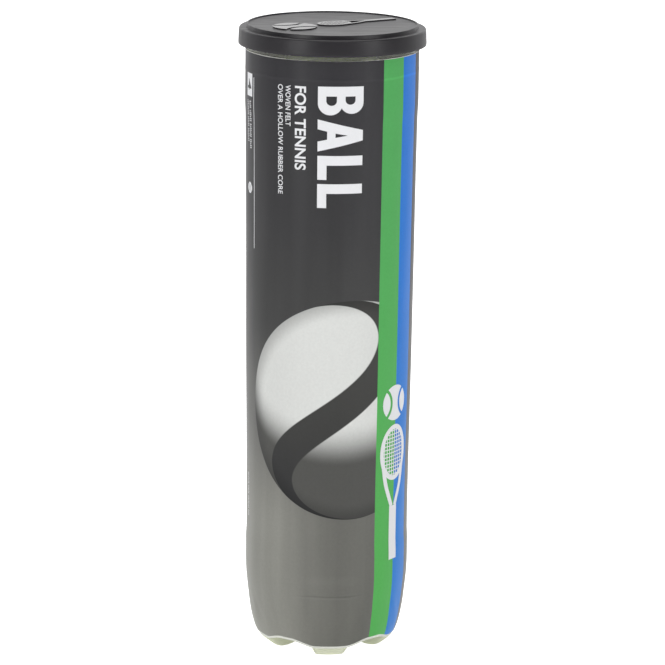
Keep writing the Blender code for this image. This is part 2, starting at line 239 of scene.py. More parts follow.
def rounded(profile, radius, steps=4):
    """A closed profile with each corner turned by a short curve."""
    result = []
    corners = [Vector(corner) for corner in profile]
    for before, here, after in zip(corners[-1:] + corners, corners, corners[1:] + corners[:1]):
        if here.x == 0.0:
            result.append(tuple(here))
            continue
        runs = (before - here, after - here)
        start, end = (here + run.normalized() * min(radius, 0.45 * run.length) for run in runs)
        for step in range(steps + 1):
            t = step / steps
            result.append(tuple(start * (1 - t) ** 2 + here * (2 * t * (1 - t)) + end * t**2))
    return result


def add_object(name, data):
    obj = bpy.data.objects.new(name, data)
    bpy.context.scene.collection.objects.link(obj)
    return obj


def piece(name, shape, material, body, replaces=(), sharp=40.0):
    """A mesh object from points in millimetres and faces, riding on a body of the CAD model."""
    mesh = bpy.data.meshes.new(name)
    mesh.from_pydata([tuple(float(c) * MM for c in point) for point in shape[0]], [], shape[1])
    turn_outwards(mesh)
    mesh.materials.append(material)
    mesh.shade_smooth()
    mesh.set_sharp_from_angle(angle=math.radians(sharp))
    obj = add_object(name, mesh)
    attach(obj, body)
    if replaces:
        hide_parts(*replaces)
    return obj


def soften(obj, width, segments=2):
    edges = obj.modifiers.new("Soft edges", "BEVEL")
    edges.width = width * MM
    edges.segments = segments
    edges.limit_method = "ANGLE"
    edges.angle_limit = math.radians(35)


def turn_outwards(mesh):
    shape = bmesh.new()
    shape.from_mesh(mesh)
    bmesh.ops.recalc_face_normals(shape, faces=shape.faces[:])
    shape.to_mesh(mesh)
    shape.free()


def ring_faces(lower, upper):
    """Faces between two rings of point numbers. A ring of one repeated number is a pole."""
    faces = []
    count = len(lower)
    for step in range(count):
        after = (step + 1) % count
        face = list(dict.fromkeys((lower[step], lower[after], upper[after], upper[step])))
        if len(face) > 2:
            faces.append(face)
    return faces


def loop_faces(count, sides):
    """Faces of a closed loop of rings of points."""
    rings = [list(range(first, first + sides)) for first in range(0, count * sides, sides)]
    pairs = zip(rings, rings[1:] + rings[:1])
    return [face for here, after in pairs for face in ring_faces(here, after)]


def revolve(profile, steps, centre=(0.0, 0.0)):
    """Points and faces of a profile, listed anticlockwise, turned about a vertical axis."""
    points, rings, faces = [], [], []
    for radius, z in profile:
        first = len(points)
        angles = turns(steps if radius else 1)
        x, y = centre[0] + radius * np.sin(angles), centre[1] - radius * np.cos(angles)
        points += [(float(a), float(b), z) for a, b in zip(x, y)]
        rings.append([first + step % len(angles) for step in range(steps)])
    if profile[0][0] > 0.0:
        rings.append(rings[0])
    for lower, upper in zip(rings, rings[1:]):
        faces += ring_faces(lower, upper)
    return np.array(points), faces


def shell(outer, inner, poles=()):
    """A closed shell between two grids of rings. Poles, one for each grid, close its start."""
    rings, columns = outer.shape[:2]
    rows = [list(range(row * columns, (row + 1) * columns)) for row in range(2 * rings)]
    outside, inside = rows[:rings], rows[rings:]
    faces = ring_faces(outside[-1], inside[-1])
    for index in range(rings - 1):
        faces += ring_faces(outside[index], outside[index + 1])
        faces += ring_faces(inside[index + 1], inside[index])
    if poles:
        last = 2 * rings * columns
        faces += ring_faces([last] * columns, outside[0])
        faces += ring_faces(inside[0], [last + 1] * columns)
    else:
        faces += ring_faces(inside[0], outside[0])
    return np.concatenate([part.reshape(-1, 3) for part in (outer, inner, np.array(poles))]), faces


def grid_normals(grid):
    """Outward unit normals of a grid of rings of points."""
    across = np.roll(grid, -1, axis=1) - np.roll(grid, 1, axis=1)
    return unit(np.cross(across, np.gradient(grid, axis=0)))


def hump(value, middle, width, power=2):
    """1 at the middle, falling smoothly to 0 on both sides."""
    return np.exp(-(((value - middle) / width) ** power))


def smooth_step(value, low, high):
    share = np.clip((value - low) / (high - low), 0.0, 1.0)
    return share * share * (3 - 2 * share)


def from_valley(angle):
    """The angle to the nearest valley between two feet. A foot points to the front."""
    lobe = TURN / FEET
    return np.abs(np.mod(angle, lobe) - lobe / 2)


def foot_share(angle):
    """1 on a foot and 0 along the valley between two feet."""
    return smooth_step(from_valley(angle), VALLEY_FLAT, VALLEY_EDGE)


def sleeve_edge(angle):
    """Height of the sleeve's lower edge, lowest on each foot."""
    from_foot = math.pi / FEET - from_valley(angle)
    return SLEEVE_FOOT_Z + SLEEVE_WAVE * smooth_step(from_foot, SLEEVE_WAVE_FROM, SLEEVE_WAVE_TO)


SKIN_CURVE = smooth_curve(SLEEVE_SKIN, 0.8)


def skin_radius(angle, z):
    """The outside of the shrunk sleeve, with the small waves and creases that shrinking leaves."""
    radius = np.interp(z, SKIN_CURVE[:, 1], SKIN_CURVE[:, 0])
    degrees = np.degrees(np.mod(angle + math.pi, TURN) - math.pi)
    ripple = 0.035 * np.sin(9 * angle + 0.03 * z) * np.sin(0.045 * z + 1.3)
    ripple += 0.02 * np.sin(23 * angle - 0.05 * z)
    pucker = 0.05 * hump(z, 19.0, 6.0) * np.sin(31 * angle + 0.4 * z)
    reach = hump(degrees, 3.0, 19.0, 4)
    crease = -0.16 * reach * hump(z, 30.6 + 0.002 * degrees**2, 0.5)
    crease += 0.14 * reach * hump(z, 38.5, 2.6)
    crease += 0.05 * hump(z, 256.5, 0.7)
    lap = 0.09 * (1 - smooth_step(np.abs(np.abs(degrees) - 178.0), 2.9, 3.5))
    return radius + ripple + pucker + crease + lap


def skin_point(angle, z, lift):
    radius = skin_radius(angle, z) + lift
    return np.stack([radius * np.sin(angle), -radius * np.cos(angle), z + 0.0 * angle], axis=-1)


# Materials


class Look:
    """A node tree, built up a node at a time: a procedural material's, or the world's."""

    def __init__(self, owner, shader, place):
        owner.use_nodes = True
        self.owner = owner
        self.tree = owner.node_tree
        self.shader = self.tree.nodes[shader]
        self.place = self.node("ShaderNodeTexCoord").outputs[place]

    def node(self, kind, **settings):
        made = self.tree.nodes.new(kind)
        for key, value in settings.items():
            setattr(made, key, value)
        return made

    def put(self, value, socket):
        if isinstance(value, bpy.types.NodeSocket):
            self.tree.links.new(value, socket)
        elif isinstance(value, (tuple, list)) and len(value) == 3 and socket.type == "RGBA":
            socket.default_value = (*value, 1.0)
        elif value is not None:
            socket.default_value = value

    def made(self, kind, *values, output=0, **settings):
        """One output of a new node, whose inputs take the values in order. None leaves one."""
        node = self.node(kind, **settings)
        for socket, value in zip(node.inputs, values):
            self.put(value, socket)
        return node.outputs[output]

    def set(self, name, value):
        self.put(value, self.shader.inputs[name])

    def math(self, operation, *values):
        return self.made("ShaderNodeMath", *values, operation=operation)

    def add(self, first, second):
        return self.math("ADD", first, second)

    def times(self, first, second):
        return self.math("MULTIPLY", first, second)

    def ramp(self, value, low, high, to_low=0.0, to_high=1.0, kind="SMOOTHSTEP"):
        values = (value, low, high, to_low, to_high)
        return self.made("ShaderNodeMapRange", *values, interpolation_type=kind)

    def spread(self, value, to_low, to_high):
        """A noise value stretched over a range."""
        return self.ramp(value, 0.3, 0.7, to_low, to_high, "LINEAR")

    def mottled(self, value, colour, low, high=1.0):
        """Sets a base colour that wavers between two brightnesses."""
        dark, light = (tuple(min(gain * part, 1.0) for part in colour) for gain in (low, high))
        self.set("Base Color", self.mix(value, dark, light))

    def within(self, value, low, high, soft):
        start = self.ramp(value, low - soft, low + soft)
        end = self.ramp(value, high - soft, high + soft, 1.0, 0.0)
        return self.times(start, end)

    def mix(self, share, first, second):
        values = (share, *[None] * 5, first, second)
        return self.made("ShaderNodeMix", *values, output=2, data_type="RGBA")

    def scaled(self, colour, gain):
        return self.made("ShaderNodeVectorMath", colour, None, None, gain, operation="SCALE")

    def split(self):
        """The object's own X, Y and Z."""
        made = self.node("ShaderNodeSeparateXYZ")
        self.put(self.place, made.inputs[0])
        return made.outputs

    def dot(self, vector, direction):
        return self.made("ShaderNodeVectorMath", vector, direction, output=1, operation="DOT_PRODUCT")

    def stretched(self, scale):
        return self.made("ShaderNodeMapping", self.place, None, None, scale)

    def noise(self, scale, detail=4.0, rough=0.55, vector=None):
        return self.made("ShaderNodeTexNoise", vector or self.place, None, scale, detail, rough)

    def bump(self, height, strength, distance):
        made = self.node("ShaderNodeBump")
        made.inputs["Strength"].default_value = strength
        made.inputs["Distance"].default_value = distance * MM
        self.put(height, made.inputs["Height"])
        self.set("Normal", made.outputs[0])


def surface(name, **values):
    """A new material's look, with some of its values set."""
    look = Look(bpy.data.materials.new(name), "Principled BSDF", "Object")
    for key, value in values.items():
        look.set(key.replace("_", " "), value)
    return look


def label_places(look):
    """The label's own coordinates: millimetres right of its middle, degrees, and height."""
    x, y, z = look.split()
    angle = look.math("ARCTAN2", x, look.times(y, -1.0))
    angle = look.add(angle, -math.radians(LABEL_TURN))
    degrees = look.times(angle, math.degrees(1.0))
    return look.times(angle, LABEL_RADIUS), degrees, look.times(z, 1000.0)


def background_print(look, degrees, height):
    """Charcoal at the top that fades to a warm grey at the bottom, lightest at lower left."""
    tone = look.node("ShaderNodeValToRGB")
    ramp = tone.color_ramp
    ramp.interpolation = "EASE"
    stops = (
        (0.00, (0.165, 0.165, 0.147)),
        (0.22, (0.158, 0.158, 0.142)),
        (0.42, (0.088, 0.088, 0.083)),
        (0.58, (0.046, 0.046, 0.046)),
        (0.80, (0.034, 0.0335, 0.036)),
        (1.00, (0.029, 0.028, 0.032)),
    )
    while len(ramp.elements) < len(stops):
        ramp.elements.new(0.5)
    for element, (place, colour) in zip(ramp.elements, stops):
        element.position = place
        element.color = (*colour, 1.0)
    look.put(look.times(height, 1 / 265.0), tone.inputs[0])
    across_gain = look.ramp(degrees, -46.0, 14.0, 1.64, 0.84)
    low_down = look.ramp(height, 60.0, 170.0, 1.0, 0.0)
    gain = look.add(look.times(look.add(across_gain, -1.0), low_down), 1.0)
    cloud = look.noise(28.0, 3.0, 0.5, look.stretched((1.0, 1.0, 0.22)))
    gain = look.times(gain, look.spread(cloud, 0.90, 1.10))
    streaks = look.noise(150.0, 2.0, 0.5, look.stretched((1.0, 1.0, 0.04)))
    gain = look.times(gain, look.spread(streaks, 0.94, 1.06))
    return look.scaled(tone.outputs[0], gain)


def ball_print(look, under, across, height):
    """A tennis ball drawn in greys: pale felt, a broad dark seam, shaded as a sphere."""
    x = look.times(look.add(across, -BALL_ART_X), 1 / BALL_ART_RADIUS)
    z = look.times(look.add(height, -BALL_ART_Z), 1 / BALL_ART_RADIUS)
    square = look.add(look.times(x, x), look.times(z, z))
    depth = look.math("SQRT", look.math("MAXIMUM", look.math("SUBTRACT", 1.0, square), 0.0))
    place = look.made("ShaderNodeCombineXYZ", x, z, depth)
    turn = Euler([math.radians(angle) for angle in BALL_ART_TURN]).to_matrix()
    own_x, own_y, own_z = (look.dot(place, row) for row in turn)
    saddle = look.times(look.times(own_x, own_y), 2 * BALL_ART_SADDLE)
    off_seam = look.math("ABSOLUTE", look.math("SUBTRACT", own_z, saddle))
    flat = look.add(look.times(own_x, own_x), look.times(own_y, own_y))
    slope = look.math("SQRT", look.add(look.times(flat, 4 * BALL_ART_SADDLE**2), 1.0))
    off_seam = look.math("DIVIDE", off_seam, slope)
    light = look.dot(place, BALL_ART_LIGHT)
    felt = look.mix(look.ramp(light, 0.0, 0.42), BALL_ART_SHADE, BALL_ART_PALE)
    seam = look.mix(look.ramp(light, -0.6, 0.9), (0.024, 0.024, 0.025), (0.046, 0.046, 0.043))
    edge = BALL_ART_SEAM
    colour = look.mix(look.ramp(off_seam, edge - 0.006, edge + 0.006), seam, felt)
    rim = look.ramp(square, 0.70, 1.0, 1.0, 0.62)
    colour = look.scaled(colour, rim)
    inside = look.ramp(square, 0.988, 1.0, 1.0, 0.0)
    shown = look.ramp(across, BALL_ART_TO, BALL_ART_TO + 0.5, 1.0, 0.0)
    return look.mix(look.times(inside, shown), under, colour)


def painted_film_light(look, degrees, height):
    """Painted shade and highlights where the light would catch the film: a painted dark line at a fold
    and painted light at a swell low down, and a painted highlight along a raised band near the top.
    """
    waver = look.times(look.add(look.noise(90.0, 2.0), -0.5), 1.2)
    place = look.add(height, waver)
    front = look.within(degrees, -16.0, 22.0, 8.0)
    low_painted_light = 0.0
    for low, high, soft, gain in PAINTED_FILM_LIGHT:
        low_painted_light = look.add(low_painted_light, look.times(look.within(place, low, high, soft), gain))
    low_painted_light = look.times(low_painted_light, front)
    # A painted highlight along the raised band near the top.
    ridge_highlight = look.times(look.within(place, 256.0, 256.9, 0.4), 0.16)
    return look.add(look.add(low_painted_light, ridge_highlight), 1.0)


def sleeve_look():
    look = surface("printed_sleeve", IOR=1.5, Specular_IOR_Level=0.22)
    across, degrees, height = label_places(look)
    colour = background_print(look, degrees, height)
    colour = ball_print(look, colour, across, height)
    green = look.mix(look.ramp(height, 0.0, 265.0), (0.084, 0.422, 0.087), (0.076, 0.370, 0.097))
    colour = look.mix(look.within(degrees, GREEN_FROM, BLUE_FROM, 0.10), colour, green)
    blue = look.mix(look.ramp(height, 0.0, 265.0), (0.011, 0.188, 0.61), (0.007, 0.162, 0.60))
    colour = look.mix(look.within(degrees, BLUE_FROM, BLUE_TO, 0.10), colour, blue)
    grain = look.noise(900.0, 3.0)
    colour = look.scaled(colour, look.spread(grain, 0.97, 1.03))
    # The base colour carries painted shade and highlights where the light would catch the film.
    look.set("Base Color", look.scaled(colour, painted_film_light(look, degrees, height)))
    wear = look.noise(60.0, 6.0, 0.6, look.stretched((1.0, 1.0, 0.25)))
    look.set("Roughness", look.spread(wear, 0.28, 0.42))
    streaks = look.noise(40.0, 3.0, 0.5, look.stretched((6.0, 6.0, 0.3)))
    look.bump(look.add(streaks, look.times(grain, 0.1)), 0.12, 0.06)
    return look.owner


def pet_look():
    """Clear PET: glassy at the neck, frosted and a little yellow at the thick feet."""
    look = surface("clear_pet", IOR=1.5)
    foot = look.ramp(look.split()[2], 0.012, 0.030, 1.0, 0.0)
    haze = look.noise(180.0, 4.0, 0.6)
    frost = look.mix(haze, (0.86, 0.90, 0.66), (0.94, 0.96, 0.78))
    look.set("Base Color", look.mix(foot, (0.76, 0.79, 0.64), frost))
    look.set("Transmission Weight", look.ramp(foot, 0.0, 1.0, 0.96, 0.30, "LINEAR"))
    smooth = look.spread(haze, 0.03, 0.08)
    look.set("Roughness", look.add(smooth, look.times(foot, 0.30)))
    look.bump(haze, 0.1, 0.05)
    return look.owner


def hem_look(name, alpha, edge_alpha):
    """Clear film without print, denser where it is seen edge-on."""
    look = surface(name, Roughness=0.2, IOR=1.5)
    cloud = look.noise(300.0, 3.0)
    look.set("Base Color", look.mix(cloud, (0.78, 0.79, 0.72), (0.88, 0.89, 0.84)))
    facing = look.node("ShaderNodeLayerWeight").outputs["Facing"]
    look.set("Alpha", look.ramp(facing, 0.0, 0.4, alpha, edge_alpha))
    look.bump(cloud, 0.1, 0.03)
    return look.owner


def ink_look(name, colour):
    look = surface(name, IOR=1.5, Specular_IOR_Level=0.22)
    speckle = look.noise(1400.0, 2.0)
    look.mottled(speckle, colour, 0.94)
    look.set("Roughness", look.spread(speckle, 0.3, 0.42))
    return look.owner


def moulded_look(name, colour, roughness, scratch=0.08, top_rough=0.0):
    """Moulded polyolefin: a fine sparked texture, coarser on top, faint scuffs and uneven gloss."""
    look = surface(name, IOR=1.5, Specular_IOR_Level=0.37)
    cloud = look.noise(35.0, 5.0)
    look.mottled(cloud, colour, 0.86, 1.12)
    scuffs = look.noise(55.0, 8.0, 0.7, look.stretched((1.0, 5.0, 1.0)))
    gloss = look.ramp(scuffs, 0.25, 0.75, roughness - 0.07, roughness + 0.09, "LINEAR")
    upward = look.dot(look.node("ShaderNodeNewGeometry").outputs["Normal"], (0.0, 0.0, 1.0))
    look.set("Roughness", look.add(gloss, look.ramp(upward, 0.9, 0.99, 0.0, top_rough)))
    fine = look.noise(2600.0, 2.0)
    look.bump(look.add(fine, look.times(scuffs, 0.8)), scratch, 0.04)
    return look.owner


def metal_look(name, grey, roughness, grain):
    """Rolled aluminium: fine straight grain from rolling, and a lacquer with uneven gloss."""
    look = surface(name, Metallic=1.0)
    rolled = look.noise(90.0, 6.0, 0.7, look.stretched((1.0, 26.0, 1.0)))
    look.mottled(rolled, (grey, grey, grey - 0.01), 0.88)
    look.set("Roughness", look.spread(rolled, roughness - 0.06, roughness + 0.08))
    look.bump(rolled, grain, 0.02)
    return look.owner


def rubber_look(name, colour, scale=420.0):
    look = surface(name, IOR=1.5)
    mottle = look.noise(scale, 5.0, 0.6)
    look.mottled(mottle, colour, 0.8)
    look.set("Roughness", look.spread(mottle, 0.55, 0.75))
    look.bump(mottle, 0.35, 0.12)
    return look.owner


def felt_look(name, colour):
    """Napped tennis felt: tangled fibres, a soft sheen and patches brushed different ways."""
    look = surface(name, Roughness=0.95, Sheen_Weight=0.6, Sheen_Roughness=0.45)
    look.set("Sheen Tint", (0.9, 1.0, 0.5, 1.0))
    patches = look.noise(70.0, 4.0, 0.6)
    fibres = look.noise(1500.0, 5.0, 0.7)
    tone = look.add(look.times(patches, 0.55), look.times(fibres, 0.45))
    look.mottled(look.ramp(tone, 0.35, 0.65), colour, 0.72, 1.1)
    look.bump(look.add(fibres, look.times(patches, 0.6)), 0.7, 0.35)
    return look.owner


# Can and sleeve


def body_curve():
    """The outside of the can wall, from the middle of its base up to its flange."""
    seam_top = top_of("end_ring")
    skin = SKIN_CURVE[::3]
    side = skin - PET_UNDER_SKIN * sideways(skin, closed=False)
    neck = smooth_curve(
        (
            *NECK_CURVE,
            (36.80, seam_top - 2.7),
            (37.00, seam_top - 2.25),
            (37.65, seam_top - 2.1),
        ),
        0.35,
    )
    foot = smooth_curve(FOOT_CURVE, 0.7)
    return np.concatenate([foot, side[side[:, 1] > foot[-1, 1] + 0.3], neck])


def valley_places(radius, z):
    """Where a ring of the foot curve lies along a valley, which is part of a round bowl."""
    slope = np.arctan2(radius, VALLEY_CENTRE_Z - z)
    bowl_radius = np.minimum(VALLEY_RADIUS * np.sin(slope), radius)
    bowl_z = np.maximum(VALLEY_CENTRE_Z - VALLEY_RADIUS * np.cos(slope), z)
    high = z >= VALLEY_CENTRE_Z
    return np.where(high, radius, bowl_radius), np.where(high, z, bowl_z)


def build_can(material):
    curve = body_curve()[1:]
    angles = turns(ROUND_STEPS)
    share = foot_share(angles)[None, :]
    radius, z = curve[:, 0:1], curve[:, 1:2]
    low_radius, low_z = valley_places(radius, z)
    across = low_radius + (radius - low_radius) * share
    up = low_z + (z - low_z) * share
    outer = np.stack([across * np.sin(angles), -across * np.cos(angles), up], axis=2)
    inner = outer - grid_normals(outer) * PET_WALL
    middle = FOOT_CURVE[0][1]
    wall = shell(outer, inner, ((0, 0, middle), (0, 0, middle + PET_WALL)))
    piece("can_shell", wall, material, "can", ["can_body"])


def film_ring(name, heights, material, replaces=()):
    """Film round the can between rings whose heights may vary with the angle."""
    angles = turns(ROUND_STEPS)
    outer = np.stack([skin_point(angles, height, 0.0) for height in heights(angles)])
    film = shell(outer, outer - grid_normals(outer) * SLEEVE_THICK)
    piece(name, film, material, "can", replaces, 60.0)


def sleeve_heights(angles):
    """Heights of the printed sleeve's rings, the first ones following its wavy lower edge."""
    edge = sleeve_edge(angles) + HEM_HEIGHT
    top = top_of("label_sleeve") - TOP_HEM
    low = [edge * (1 - part) + 12.0 * part for part in np.linspace(0.0, 1.0, 14)[:-1]]
    runs = ((12.0, 46.0, 0.4), (46.0, 254.0, 1.3), (254.0, 259.0, 0.35), (259.0, top, 1.3))
    rest = [z + 0.0 * angles for start, end, step in runs for z in np.arange(start, end, step)]
    return low + rest + [top + 0.0 * angles]


def hem_heights(angles):
    edge = sleeve_edge(angles)
    return [edge + HEM_HEIGHT * part for part in (0.0, 0.5, 0.97)]


def top_hem_heights(angles):
    top = top_of("label_sleeve") + 0.0 * angles
    return [top - TOP_HEM * part for part in (0.97, 0.5, 0.0)]


def top_of(node):
    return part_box(node)[1][2] / MM


# Print


class Plan:
    """Flat shapes as triangles, before they are wrapped round the can or laid on the cap."""

    def __init__(self):
        self.points = []
        self.faces = []

    def shape(self, outline, holes=(), level=0):
        """Adds a shape. Shapes that overlap take different levels, so that no faces coincide."""
        loops = [[Vector((x, z, level * LEVEL_STEP)) for x, z in loop] for loop in (outline, *holes)]
        first = len(self.points)
        for loop in loops:
            self.points += [tuple(point) for point in loop]
        for face in tessellate_polygon(loops):
            self.faces.append([first + index for index in face])

    def box(self, x, z, width, height, level=0):
        right, top = x + width, z + height
        self.shape([(x, z), (right, z), (right, top), (x, top)], (), level)

    def line(self, path, width, level=0):
        """A stroke of even width along a path."""
        off = sideways(path, closed=False) * width / 2
        self.shape([*(path - off), *(path + off)[::-1]], (), level)

    def letter(self, x, z, outline, holes=()):
        """A drawn letter that reads downwards, with its top to the right."""
        loops = [[(x + up, z - along) for along, up in loop] for loop in (outline, *holes)]
        self.shape(loops[0], loops[1:])

    def word(self, text, x, z, cap, length, weight=0.0):
        """A word in the built-in font that reads downwards, with its tops to the right."""
        curve = bpy.data.curves.new(text, "FONT")
        curve.body = text
        curve.offset = weight
        obj = add_object(text, curve)
        mesh = obj.evaluated_get(bpy.context.evaluated_depsgraph_get()).to_mesh()
        flat = np.array([vertex.co[:2] for vertex in mesh.vertices])
        made = [list(polygon.vertices) for polygon in mesh.polygons]
        bpy.data.objects.remove(obj)
        flat = (flat - flat.min(axis=0)) / np.ptp(flat, axis=0)
        first = len(self.points)
        self.points += [(x + up * cap, z - along * length, 0.0) for along, up in flat]
        self.faces += [[first + index for index in face] for face in made]

    def slab(self, thick, cuts=()):
        """The shapes as a slab, cut into strips so that it can bend: its points and faces."""
        mesh = bmesh.new()
        made = [mesh.verts.new(point) for point in self.points]
        for face in self.faces:
            if len(set(face)) > 2:
                mesh.faces.new([made[index] for index in face])
        flat = np.array(self.points)
        for normal, gap in cuts:
            along = flat @ np.array(normal)
            for place in np.arange(along.min() + gap / 2, along.max(), gap):
                everything = mesh.verts[:] + mesh.edges[:] + mesh.faces[:]
                where = Vector(normal) * place
                bmesh.ops.bisect_plane(mesh, geom=everything, plane_co=where, plane_no=normal)
        bmesh.ops.recalc_face_normals(mesh, faces=mesh.faces[:])
        for face in mesh.faces:
            if face.normal.z < 0:
                face.normal_flip()
        bmesh.ops.solidify(mesh, geom=mesh.faces[:], thickness=thick)
        mesh.verts.index_update()
        points = np.array([vertex.co for vertex in mesh.verts])
        faces = [[vertex.index for vertex in face.verts] for face in mesh.faces]
        mesh.free()
        points[:, 2] -= points[:, 2].min()
        return points, faces

    def wrapped(self, name, material, lift=PRINT_LIFT):
        """Wraps the shapes round the sleeve as a layer of ink."""
        cuts = (((1.0, 0.0, 0.0), 1.0), ((0.0, 1.0, 0.0), 6.0))
        flat, faces = self.slab(PRINT_THICK, cuts)
        angles = flat[:, 0] / LABEL_RADIUS + math.radians(LABEL_TURN)
        points = skin_point(angles, flat[:, 1], lift + flat[:, 2])
        piece(name, (points, faces), material, "can", (), 30.0)


def ball_shapes(radius):
    """A plain ball drawn flat: the two parts beside its seams and the part between them."""
    reach = 1.30 * radius
    parts = []
    for bend in (0.89 * radius, 1.07 * radius):
        across = (bend**2 - radius**2 - reach**2) / (2 * reach)
        up = math.sqrt(radius**2 - across**2)
        meet = math.degrees(math.atan2(up, across))
        half = math.degrees(math.atan2(up, across + reach))
        parts.append((meet, arc(-reach, 0.0, bend, bend, -half, half, 24)))
    meet, seam = parts[0]
    lens = arc(0.0, 0.0, radius, radius, meet, 360.0 - meet, 40)[:-1] + seam[:-1]
    meet, seam = parts[1]
    half = arc(0.0, 0.0, radius, radius, 180.0 - meet, meet, 24)[:-1] + seam[:0:-1]
    return lens, [(-x, -y) for x, y in lens], half + [(-x, -y) for x, y in half]


def draw_racket(plan, x, z, height, wire, strings):
    """A plain racket that stands on its handle."""
    half_x, half_z = height * 0.145, height * 0.205
    head_z = z + height - half_z
    band = height * 0.034
    inside = oval(half_x - band, half_z - band, head_z, x)
    plan.shape(oval(half_x, half_z, head_z, x), [inside], 3)
    draw_strings(plan, x, head_z, half_x - band / 2, half_z - band / 2, wire, strings)
    for side in (-1, 1):
        path = (
            (x + side * half_x * 0.75, head_z - half_z * 0.50),
            (x + side * half_x * 0.60, head_z - half_z * 1.06),
            (x + side * height * 0.020, z + height * 0.40),
        )
        plan.line(smooth_curve(path, height * 0.01), band, (side + 1) // 2)
    plan.box(x - height * 0.042, z, height * 0.084, height * 0.40, 2)


def draw_strings(plan, x, z, half_x, half_z, wire, strings):
    for count, half, reach in ((strings, half_x, half_z), (strings * 3 // 2, half_z, half_x)):
        for index in range(-count, count + 1):
            part = index / (count + 1)
            near, far = half * part, reach * math.sqrt(1 - part * part)
            if count == strings:
                plan.box(x + near - wire / 2, z - far, wire, 2 * far, 2)
            else:
                plan.box(x - far, z + near - wire / 2, 2 * far, wire, 1)


def emblem(x, z, radius, height, wire, strings):
    """A ball over a racket that stands at a place, in one plan."""
    plan = Plan()
    draw_racket(plan, x, z, height, wire, strings)
    middle = z + height + radius * 1.25
    for outline in ball_shapes(radius):
        plan.shape([(x + a, middle + b) for a, b in outline])
    return plan


def small_print(plan, x, z, height, words):
    """A line of small print: each word is a row of plain blocks, a block for a letter."""
    place = z
    for word in words:
        for letter in range(word):
            tall = height * (0.72 + 0.28 * ((letter * 5 + word) % 3 > 0))
            plan.box(x, place - 0.27 * height, tall, 0.27 * height)
            place -= 0.56 * height
        place -= 0.5 * height


def letter_b():
    low = arc(7.0, 5.05, 5.0, 5.05, -90, 58) + arc(6.6, 13.85, 4.8, 4.85, -60, 90)
    holes = [
        [(4.1, 3.4), *arc(6.0, 5.55, 2.0, 2.15, -90, 90), (4.1, 7.7)],
        [(4.1, 11.2), *arc(5.7, 13.25, 1.85, 2.05, -90, 90), (4.1, 15.3)],
    ]
    return 12.0, [(0.0, 0.0), *low, (0.0, LETTER_TALL)], holes


def letter_a():
    legs = [(0.0, 0.0), (4.2, 0.0), (5.1, 3.9), (8.5, 3.9), (9.4, 0.0), (13.6, 0.0)]
    hole = [(5.9, 7.3), (7.7, 7.3), (6.8, 12.4)]
    return 13.6, legs + [(9.0, LETTER_TALL), (4.6, LETTER_TALL)], [hole]


def letter_l():
    foot = [(0.0, 0.0), (10.2, 0.0), (10.2, 3.8), (4.1, 3.8)]
    return 10.2, foot + [(4.1, LETTER_TALL), (0.0, LETTER_TALL)], []


def build_front_print(white):
    big = Plan()
    place = 254.3
    for width, outline, holes in (letter_b(), letter_a(), letter_l(), letter_l()):
        big.letter(-5.6, place, outline, holes)
        place -= width + LETTER_GAP
    big.wrapped("print_word", white)
    small = Plan()
    small.word("FOR TENNIS", -15.4, 254.0, 4.9, 35.4, 0.022)
    small.word("WOVEN FELT", -19.7, 254.0, 2.4, 17.2, 0.012)
    small.word("OVER A HOLLOW RUBBER CORE", -23.4, 254.0, 2.4, 46.5, 0.012)
    small.box(-39.5, 181.0, 0.4, 73.5)
    small_print(small, -43.6, 244.0, 1.5, (4, 6, 7, 5))
    small_print(small, -46.2, 244.0, 1.3, (9, 6, 8))
    small_print(small, -47.5, 79.0, 1.2, (8, 6, 9, 4))
    small.box(-46.6, 246.0, 5.8, 9.8)
    for outline in ball_shapes(2.4):
        small.shape([(a - 44.0, b + 206.5) for a, b in outline])
    small.wrapped("print_small", white)
    emblem(33.6, 44.0, 7.8, 61.0, 0.4, 4).wrapped("print_emblem", white)


def build_side_print(white, dark):
    """What the photo can't show: a plain block of bars and small print behind."""
    count = Plan()
    count.word("4", -45.7, 253.4, 4.0, 4.9, 0.004)
    count.wrapped("print_count", dark, PRINT_LIFT + PRINT_THICK)
    back = math.pi * LABEL_RADIUS
    panel = Plan()
    panel.box(back - 12.0, 34.0, 24.0, 34.0)
    for row in range(7):
        small_print(panel, back - 14.0 + 4.4 * row, 236.0, 2.0, (6, 9, 5, 8, 7, 10, 6, 9 - row))
    panel.wrapped("print_back", white)
    bars = Plan()
    widths = (1, 2, 1, 1, 3, 1, 2, 1, 1, 2, 3, 1, 1, 2, 1, 3, 1, 1, 2, 1)
    place = 37.0
    for width, gap in zip(widths, widths[::-1]):
        bars.box(back - 9.5, place, 19.0, 0.38 * width)
        place += 0.38 * (width + gap)
    bars.wrapped("print_bars", dark, PRINT_LIFT + PRINT_THICK)


# Metal end


def turned(profile, soft, node, steps=ROUND_STEPS, centre=(0.0, 0.0)):
    """A turned shape whose profile is measured from the top of a node of the CAD model."""
    top = top_of(node)
    return revolve([(radius, z + top) for radius, z in rounded(profile, soft)], steps, centre)


def build_seam(metal, compound):
    """The can end: a double seam, a countersunk wall and the lip the panel tears away from."""
    seam = turned(SEAM_PROFILE, 0.28, "end_ring")
    piece("seamed_ring", seam, metal, "can", ["end_ring"])
    gasket = turned(GASKET_PROFILE, 0.12, "end_ring")
    piece("sealing_compound", gasket, compound, "can", ["seam_gasket"])


